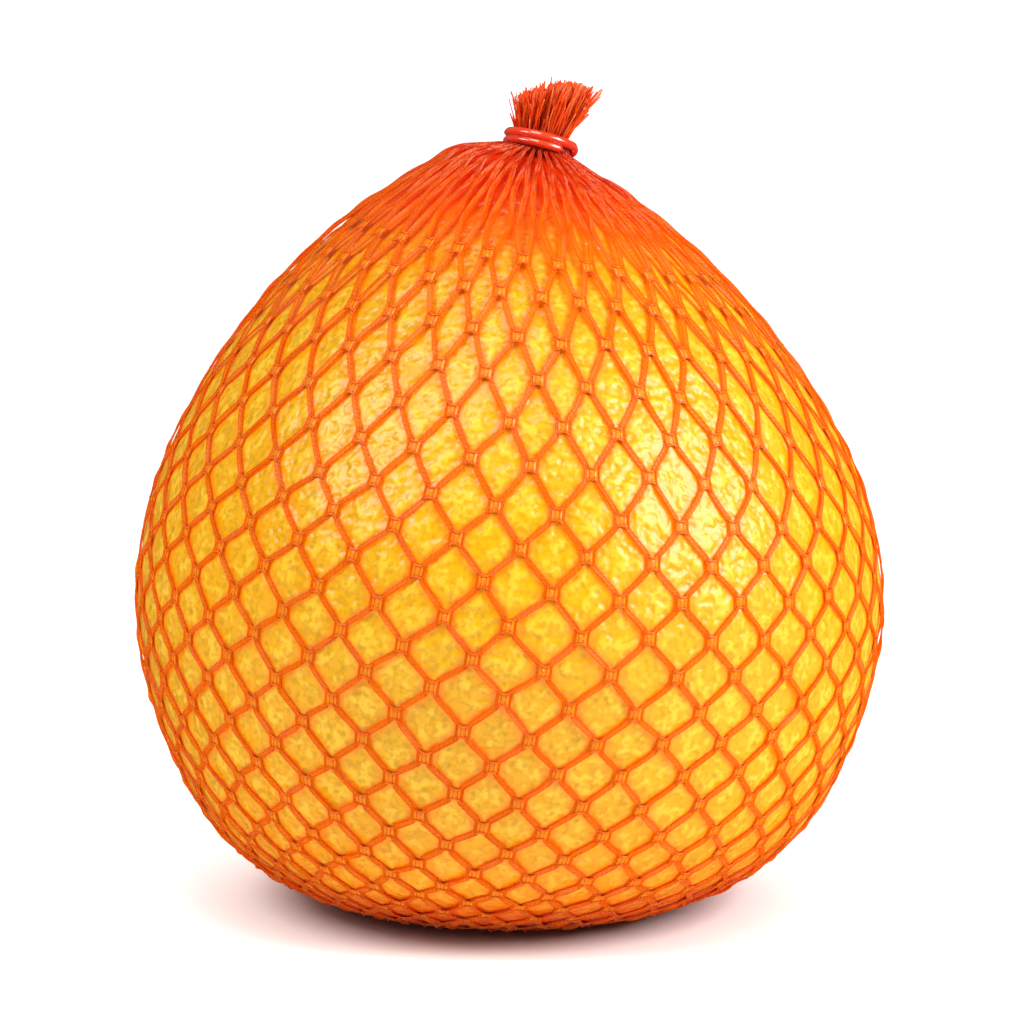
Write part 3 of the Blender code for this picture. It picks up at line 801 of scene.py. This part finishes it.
def tape_points(layout):
    """All tapes from the closed end to above the clip: (tapes, stations, sides, 3), and their marks.

    A tape narrows with (spacing / 3.4 mm)^0.85 where the net is gathered, and is a little wider low on the
    fruit. Between knots it turns by its twist sin^2(pi part), and it is lifted so far that its lower rim
    stays over the peel."""
    settings = layout.settings
    draw = np.random.default_rng(settings.seed + 1)
    turn, along, part = layout.tape_paths()
    tapes = len(turn)
    crowd = layout.crowding(along)
    spacing = 2 * layout.spacing(along)
    low = 1.0 - smooth_step(sleeve_point(turn, along, settings.depth)[..., 2], *LOW_HEIGHTS)
    width = 0.5 * settings.tape_width * np.minimum(1.0, (spacing / 0.0034) ** 0.85)
    width = width * (1.0 + 0.14 * (1.0 - smooth_step(along, 0.060, 0.125)) + 0.30 * low)
    height = settings.tape_height * (1.0 + 0.5 * crowd)
    intervals = np.arange(turn.shape[1]) // len(INTERVAL_STATIONS)
    each = (tapes, intervals.max() + 1)
    twists = draw.uniform(-1.7, 1.7, each)[:, intervals] * settings.twist
    twist = twists * np.sin(math.pi * part)[None, :] ** 2 * (1.0 + 2.0 * crowd)
    own_lift = draw.uniform(0.0, 1.0, (tapes, 1))
    side_lift = np.where(np.arange(tapes) % 2 == 0, 0.00007, 0.0)[:, None]
    lift = 0.7 * np.abs(np.sin(twist)) * width + side_lift + own_lift * 0.0004 * crowd
    path = sleeve_point(turn, along, settings.depth - lift)
    normal = sleeve_normal(turn, along)

    foot, across, front, up = neck_frame()
    last_turn = turn[:, -1:]
    radial = across * np.sin(last_turn)[..., None] + front * np.cos(last_turn)[..., None]
    jitter = draw.uniform(-0.00025, 0.00045, (tapes, 1, 1))
    neck = [foot + radial * (radius / 1000 + jitter) + up * (high / 1000) for radius, high in NECK_STATIONS]
    path = np.concatenate([path, *neck], axis=1)
    normal = np.concatenate([normal] + [radial] * len(neck), axis=1)

    def lengthened(values, last):
        """The values, carried on up the neck by a last one."""
        return np.concatenate([values, np.broadcast_to(last, (tapes, len(neck)))], axis=1)

    width = lengthened(width, 0.5 * settings.neck_tape_width)
    height = lengthened(height, settings.tape_height * 1.5)
    twist = lengthened(twist, 0.0)
    ahead = unit(np.gradient(path, axis=1))
    sideways = unit(np.cross(ahead, normal))
    outward = np.cross(sideways, ahead)
    turned = outward * np.cos(twist)[..., None] - sideways * np.sin(twist)[..., None]
    points = sweep(path, turned, TAPE_PROFILE, width, height)
    points[..., 2] = np.maximum(points[..., 2], FLOOR_GAP)

    steps = np.linalg.norm(np.diff(path, axis=1), axis=2)
    shade = draw.uniform(0.0, 1.0, each)[:, intervals]
    reach = np.minimum(part, 1.0 - part) * np.interp(along, layout.rows, np.gradient(layout.rows))
    knot = 1.0 - smooth_step(reach, 0.35 * settings.knot_height, 0.8 * settings.knot_height)
    marks = {
        "along": np.concatenate([np.zeros((tapes, 1)), np.cumsum(steps, axis=1)], axis=1),
        "shade": lengthened(shade, 0.3),
        "crowd": lengthened(crowd, 1.0),
        "knot": lengthened(knot, 0.0),
        "low": lengthened(low, 0.0),
        "gathered": lengthened(1.0 - smooth_step(spacing, 0.0024, 0.0080), 1.0),
    }
    return points, marks


def add_tapes(layout, pieces=4):
    """The tapes in several objects, each a bunch of neighbours."""
    points, marks = tape_points(layout)
    finish = tape_finish(layout.settings)
    made = []
    for i, part in enumerate(np.array_split(np.arange(len(points)), pieces)):
        obj = new_piece(f"net_tapes_{i + 1}", *closed_tubes(points[part]), finish)
        shape = points[part].shape[:3]
        mark_tubes(obj, "across", TAPE_PROFILE[:, 0], shape)
        for name, values in marks.items():
            mark_tubes(obj, name, values[part][..., None], shape)
        made.append(obj)
    return made


def knot_places(layout):
    """Turn, length, radius, half width and half height of every knot, row after row."""
    settings = layout.settings
    row = np.arange(KNOT_ROWS[0], len(layout.rows) - KNOT_ROWS[1])
    column = np.arange(layout.columns)[None, :]
    turn = settings.first_turn + layout.pitch * (column + 0.5 * (row[:, None] % 2))
    along = np.broadcast_to(layout.rows[row][:, None], turn.shape)
    radius = layout.radius(along)
    calm = 1.0 - layout.crowding(along)
    turn = turn + layout.knot_shift_round[row] * calm / radius
    half = layout.knot_offset(along) * radius
    tall = np.minimum(0.5 * settings.knot_height, 0.28 * np.gradient(layout.rows)[row][:, None])
    tall = np.broadcast_to(tall, turn.shape)
    along = along + layout.knot_shift_up[row] * calm
    return [values.ravel() for values in (turn, along, radius, half, tall)]


def add_loops(layout):
    """The cords that close every knot above and below. Each is place = knot + (x half, y tall) over the
    sleeve, with x from -1.35 to 1.35 and y = +-(1.12 - 0.42 bow), where bow = 4 t (1 - t). It is lifted most
    midway."""
    settings = layout.settings
    turn, along, radius, half, tall = knot_places(layout)
    t = np.linspace(0.0, 1.0, 8)
    bow = 4 * t * (1 - t)
    turns = turn[:, None] + (half / radius)[:, None] * (2 * t - 1) * 1.35
    offset = tall[:, None] * (1.12 - 0.42 * bow)
    turns = np.concatenate([turns, turns])
    lengths = np.concatenate([along[:, None] + offset, along[:, None] - offset])
    path = sleeve_point(turns, lengths, settings.depth - LOOP_LIFT - LOOP_RISE * bow)
    slim = np.minimum(1.0, np.tile(half, 2) / 0.0008)[:, None]
    thick = settings.cord * (0.6 + 0.4 * bow) * slim
    points = sweep(path, sleeve_normal(turns, lengths), round_profile(6), thick, thick * 0.8)
    return new_piece("net_loops", *closed_tubes(points), loop_finish())


def add_webs(layout, cells=5):
    """The knitted middle of every knot, a thin cushion: place = knot + (1.1 u half, v tall (0.70 + 0.42 u^2))
    over the sleeve, for u and v from -1 to 1, on an upper and a lower sheet that are joined at the edge."""
    settings = layout.settings
    turn, along, radius, half, tall = knot_places(layout)
    grid = np.linspace(-1.0, 1.0, cells)
    v, u = np.meshgrid(grid, grid, indexing="ij")
    u, v = u.ravel(), v.ravel()
    turns = turn[:, None] + (half / radius)[:, None] * 1.1 * u
    lengths = along[:, None] + tall[:, None] * v * (0.70 + 0.42 * u * u)
    dome = (1 - u * u) * (1 - v * v)
    upper = sleeve_point(turns, lengths, settings.depth - WEB_LIFT - WEB_RISE * dome)
    lower = sleeve_point(turns, lengths, settings.depth - WEB_UNDERSIDE)
    points = np.concatenate([upper, lower], axis=1)
    row, column = np.indices((cells - 1, cells - 1))
    here = (row * cells + column).ravel()
    top = np.stack([here, here + 1, here + cells + 1, here + cells], axis=-1)
    sheet = cells * cells
    first = np.arange(cells - 1)
    last = first + cells * (cells - 1)
    left = first * cells
    right = left + cells - 1
    quads = np.concatenate([
        top,
        top[:, ::-1] + sheet,
        np.stack([first + sheet, first + 1 + sheet, first + 1, first], axis=-1),
        np.stack([last, last + 1, last + 1 + sheet, last + sheet], axis=-1),
        np.stack([left, left + cells, left + cells + sheet, left + sheet], axis=-1),
        np.stack([right + sheet, right + cells + sheet, right + cells, right], axis=-1),
    ])
    faces = (quads[None] + (2 * sheet * np.arange(len(turn)))[:, None, None]).reshape(-1, 4)
    obj = new_piece("net_webs", points.reshape(-1, 3), faces.tolist(), web_finish(settings))
    mark(obj, "across", np.tile(u, 2 * len(turn)))
    mark(obj, "upward", np.tile(v, 2 * len(turn)))
    return obj


def tuft_top(right, forward):
    """Height of the tuft over the neck's foot, in millimetres: level on the right and falling away to the
    left, 15.7 - 5.6 max(0, (0.15 - right) / 1.15)^1.3 - 1.6 forward^2."""
    return 15.7 - 5.6 * (np.maximum(0.15 - right, 0.0) / 1.15) ** 1.3 - 1.6 * forward**2


def add_cut_ends(settings):
    """The tuft over the clip: strands from a disc in the neck to a fan of uneven tips.

    Place = foot + across x + front y + up h, where x and y go from the neck's disc to the tips by a curve
    that opens as t^1.5, with a small sway, and h rises evenly to the tuft's top. A few stray out at the
    sides."""
    draw = np.random.default_rng(settings.seed + 2)
    count = settings.cut_ends
    spread = np.sqrt(draw.uniform(0.0, 1.0, count))
    angle = draw.uniform(0.0, 2 * math.pi, count)
    right = spread * np.cos(angle)
    forward = spread * np.sin(angle)
    shorter = draw.uniform(0.0, 1.0, count) ** 3 * 6.0
    top = tuft_top(right, forward) - shorter - draw.uniform(0.0, 0.9, count)
    tip_x = right * TUFT_REACH[0] + TUFT_SHIFT + draw.normal(0, TUFT_UNEVENNESS, count)
    tip_y = forward * TUFT_REACH[1] + draw.normal(0, TUFT_UNEVENNESS, count)
    stray = draw.uniform(0.0, 1.0, count) < 0.035
    tip_x = np.where(stray, tip_x * 1.22, tip_x)
    t = np.linspace(0.0, 1.0, 7)
    opening = t**1.5
    sway = draw.normal(0, TUFT_SWAY, (count, 1))
    sway = sway * np.sin(2.2 * math.pi * t + draw.uniform(0, 6, (count, 1))) * t
    x = right[:, None] * TUFT_NECK_RADIUS * (1 - opening) + tip_x[:, None] * opening + sway
    y = forward[:, None] * TUFT_NECK_RADIUS * (1 - opening) + tip_y[:, None] * opening - sway
    h = TUFT_START + (top[:, None] - TUFT_START) * t
    foot, across, front, up = neck_frame()
    path = foot + 0.001 * (x[..., None] * across + y[..., None] * front + h[..., None] * up)
    facing = draw.uniform(0, 2 * math.pi, (count, 1))
    facing = facing + draw.normal(0, 0.5, (count, 1)) * t
    normal = across * np.cos(facing)[..., None] + front * np.sin(facing)[..., None]
    thin = 1.0 - 0.35 * t
    width = draw.uniform(0.00018, 0.00040, (count, 1)) * thin
    height = draw.uniform(0.00010, 0.00017, (count, 1)) * thin
    points = sweep(path, normal, round_profile(5), width, height)
    points[..., 2] = np.minimum(points[..., 2], CAD_BOX[1][2] - FLOOR_GAP)
    obj = new_piece("net_cut_ends", *closed_tubes(points), cut_end_finish())
    # Random tone, with painted light: strands to the right, towards the right softbox, are lighter.
    shade = np.clip(draw.uniform(0.0, 1.0, count) ** 1.5 + 0.25 * right, 0.0, 1.0)
    shape = points.shape[:3]
    mark_tubes(obj, "shade", shade[:, None, None], shape, np.tile(shade, 2))
    mark_tubes(obj, "along", t[None, :, None], shape, np.repeat([0.0, 1.0], count))
    return obj


def add_clip(settings, stations=150, corners=20):
    """The clip: a wire with a rounded square profile, carried round the neck from its lower end at the front.

    Its height is foot + pitch climb + arch cos(turn), where climb steps up at the right side. The profile is
    a circle times (|cos|^3.4 + |sin|^3.4)^(-1 / 3.4), turned by its face, and both ends are rounded."""
    foot, across, front, up = neck_frame()
    bend = np.linspace(0.0, math.pi / 2, 7)[:-1]
    caps = -0.5 * settings.wire / settings.radius * np.cos(bend)
    last = 2 * math.pi * CLIP_TURNS
    travel = np.concatenate([caps, np.linspace(0.0, last, stations), last - caps[::-1]])
    scale = np.concatenate([np.sin(bend), np.ones(stations), np.sin(bend)[::-1]])
    half = 0.5 * settings.wire * np.maximum(scale, 0.12)
    turn = CLIP_START - travel
    climb = smooth_step(travel, *CLIP_STEP)
    height = settings.foot + settings.pitch * climb + settings.arch * np.cos(turn)
    outward = across * np.sin(turn)[:, None] + front * np.cos(turn)[:, None]
    radius = settings.radius - settings.tuck * (1.0 - climb)
    path = foot + outward * radius[:, None] + up * height[:, None]
    circle = np.abs(round_profile(corners)) ** CLIP_SQUARENESS
    bulge = circle.sum(axis=1) ** (-1 / CLIP_SQUARENESS)
    corner = 2 * math.pi * np.arange(corners) / corners + settings.face
    profile = np.stack([np.cos(corner), np.sin(corner)], axis=1) * bulge[:, None] * CLIP_FIT
    points = sweep(path[None], outward[None], profile, half[None], half[None])
    return new_piece("wire_clip", *closed_tubes(points), clip_finish(settings))


def as_part(obj, node):
    """Makes a new piece ride on the body and stand for its solid, whose imported part it hides."""
    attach(obj, "root")
    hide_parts(node)


class POMELO_OT_fruit(bpy.types.Operator):
    """Add the fruit with its pitted, waxy peel"""

    bl_idname = "pomelo.fruit"
    bl_label = "Fruit"

    def execute(self, context):
        settings = context.scene.pomelo_fruit
        points, faces = fruit_mesh(settings)
        peel = new_piece("pomelo_peel", points, faces, peel_finish(settings))
        layout = NetLayout(context.scene.pomelo_net)
        # Painted shadow of the tapes on the peel: 1 under a tape's middle, falling off beside it.
        mark(peel, "painted_net_light", layout.nearness(*sleeve_place(points), settings.painted_light_reach))
        as_part(peel, "pomelo")
        return {"FINISHED"}


class POMELO_OT_net(bpy.types.Operator):
    """Add the net: its tapes, the loops of its knots and its cut ends"""

    bl_idname = "pomelo.net"
    bl_label = "Net"

    def execute(self, context):
        settings = context.scene.pomelo_net
        layout = NetLayout(settings)
        for obj in (*add_tapes(layout), add_loops(layout), add_webs(layout), add_cut_ends(settings)):
            as_part(obj, "net")
        return {"FINISHED"}


class POMELO_OT_clip(bpy.types.Operator):
    """Add the glossy wire clip round the neck"""

    bl_idname = "pomelo.clip"
    bl_label = "Clip"

    def execute(self, context):
        as_part(add_clip(context.scene.pomelo_clip), "clip")
        return {"FINISHED"}


def add_light(name, power, azimuth, elevation, distance, size):
    """A square softbox that faces the fruit's middle. Its azimuth goes round from the front, to the right."""
    data = bpy.data.lights.new(name, "AREA")
    data.energy = power
    data.shape = "RECTANGLE"
    data.size = size
    data.size_y = size
    obj = bpy.data.objects.new(name, data)
    bpy.context.scene.collection.objects.link(obj)
    azimuth, elevation = math.radians(azimuth), math.radians(elevation)
    obj.location = (
        distance * math.cos(elevation) * math.sin(azimuth),
        -distance * math.cos(elevation) * math.cos(azimuth),
        distance * math.sin(elevation) + 0.075,
    )
    obj.rotation_euler = (math.pi / 2 - elevation, 0.0, azimuth)
    return obj


def stage_finish():
    """Plain matt white paper that glows with painted light: none where the fruit stands, more further out."""
    finish = Finish("plain_white_paper")
    reach = finish.number("ShaderNodeVectorMath", {"operation": "LENGTH"}, {0: finish.place()}, "Value")
    # Painted light: the paper glows, but not where the fruit stands, so that the fruit's shadow stays.
    glow = finish.blend(reach.between(0.036, 0.078), (0.0, 0.0, 0.0), (0.42, 0.42, 0.42))
    glow = finish.blend(reach.between(0.15, 2.0), glow, (0.75, 0.75, 0.75))
    others = {"Specular IOR Level": 0.0, "Emission Color": glow, "Emission Strength": 1.0}
    paper = finish.surface((0.93, 0.93, 0.93), 0.9, 1.5, others=others)
    finish.material.cycles.emission_sampling = "NONE"
    return finish.done(paper)


class POMELO_OT_stage(bpy.types.Operator):
    """Add the camera, the soft lights and the plain white floor"""

    bl_idname = "pomelo.stage"
    bl_label = "Stage"

    def execute(self, context):
        settings = context.scene.pomelo_stage
        scene = context.scene
        bend = np.linspace(0.0, math.pi / 2, 13)
        y = np.concatenate([[-6.0], 2.5 + 1.5 * np.sin(bend), [4.0]])
        z = np.concatenate([[0.0], 1.5 - 1.5 * np.cos(bend), [6.0]])
        x = np.array([-7.0, 7.0])
        points = np.stack([np.tile(x, len(y)), np.repeat(y, 2), np.repeat(z, 2)], axis=-1)
        step = 2 * np.arange(len(y) - 1)
        faces = np.stack([step, step + 1, step + 3, step + 2], axis=-1).tolist()
        paper = new_piece("paper_sweep", points, faces, stage_finish())
        paper.visible_glossy = False

        add_light("right_softbox", settings.key, 66, 31, 1.0, 0.55)
        add_light("left_softbox", settings.fill, -60, 44, 1.1, 0.5)
        add_light("overhead_light", settings.top, -14, 68, 1.1, 0.42)
        world = bpy.data.worlds.new("white_room")
        world.use_nodes = True
        background = world.node_tree.nodes["Background"]
        background.inputs["Color"].default_value = (1.0, 1.0, 1.0, 1.0)
        background.inputs["Strength"].default_value = settings.around
        scene.world = world

        elevation = settings.elevation
        looking = np.array([0.0, math.cos(elevation), -math.sin(elevation)])
        upward = np.array([0.0, math.sin(elevation), math.cos(elevation)])
        pixels = settings.lens * RENDER_SIZE / SENSOR / settings.distance
        place = np.array(SIGHT) - looking * settings.distance
        place[0] += (RENDER_SIZE / 2 - SIGHT_PIXEL[0]) / pixels
        place += upward * (SIGHT_PIXEL[1] - RENDER_SIZE / 2) / pixels
        data = bpy.data.cameras.new("camera")
        data.lens = settings.lens
        data.sensor_width = SENSOR
        data.clip_start = 0.05
        data.clip_end = 50.0
        camera = bpy.data.objects.new("camera", data)
        camera.location = place
        camera.rotation_euler = (math.pi / 2 - elevation, 0.0, 0.0)
        scene.collection.objects.link(camera)
        scene.camera = camera
        scene.view_settings.view_transform = "Standard"
        scene.cycles.max_bounces = 6
        scene.cycles.diffuse_bounces = 3
        scene.cycles.glossy_bounces = 3
        return {"FINISHED"}


class POMELO_PT_panel(bpy.types.Panel):
    """Settings and buttons of the pomelo"""

    bl_idname = "POMELO_PT_panel"
    bl_label = "Pomelo in a net"
    bl_space_type = "VIEW_3D"
    bl_region_type = "UI"
    bl_category = "Pomelo"

    def draw(self, context):
        for group, operator in zip(SETTINGS, OPERATORS):
            settings = getattr(context.scene, group)
            box = self.layout.box()
            for name in settings.__annotations__:
                box.prop(settings, name)
            box.operator(operator.bl_idname)


SETTINGS = {
    "pomelo_fruit": PomeloFruitSettings,
    "pomelo_net": PomeloNetSettings,
    "pomelo_clip": PomeloClipSettings,
    "pomelo_stage": PomeloStageSettings,
}
OPERATORS = (POMELO_OT_fruit, POMELO_OT_net, POMELO_OT_clip, POMELO_OT_stage)
CLASSES = (*SETTINGS.values(), *OPERATORS, POMELO_PT_panel)


def register():
    """Registers the classes and hangs the settings on the scene."""
    for cls in CLASSES:
        bpy.utils.register_class(cls)
    for name, cls in SETTINGS.items():
        setattr(bpy.types.Scene, name, bpy.props.PointerProperty(type=cls))


def unregister():
    """Takes back what register did."""
    for name in SETTINGS:
        delattr(bpy.types.Scene, name)
    for cls in reversed(CLASSES):
        bpy.utils.unregister_class(cls)


def main():
    """Makes the whole scene."""
    register()
    bpy.ops.pomelo.fruit()
    bpy.ops.pomelo.net()
    bpy.ops.pomelo.clip()
    bpy.ops.pomelo.stage()


if __name__ == "__main__":
    main()
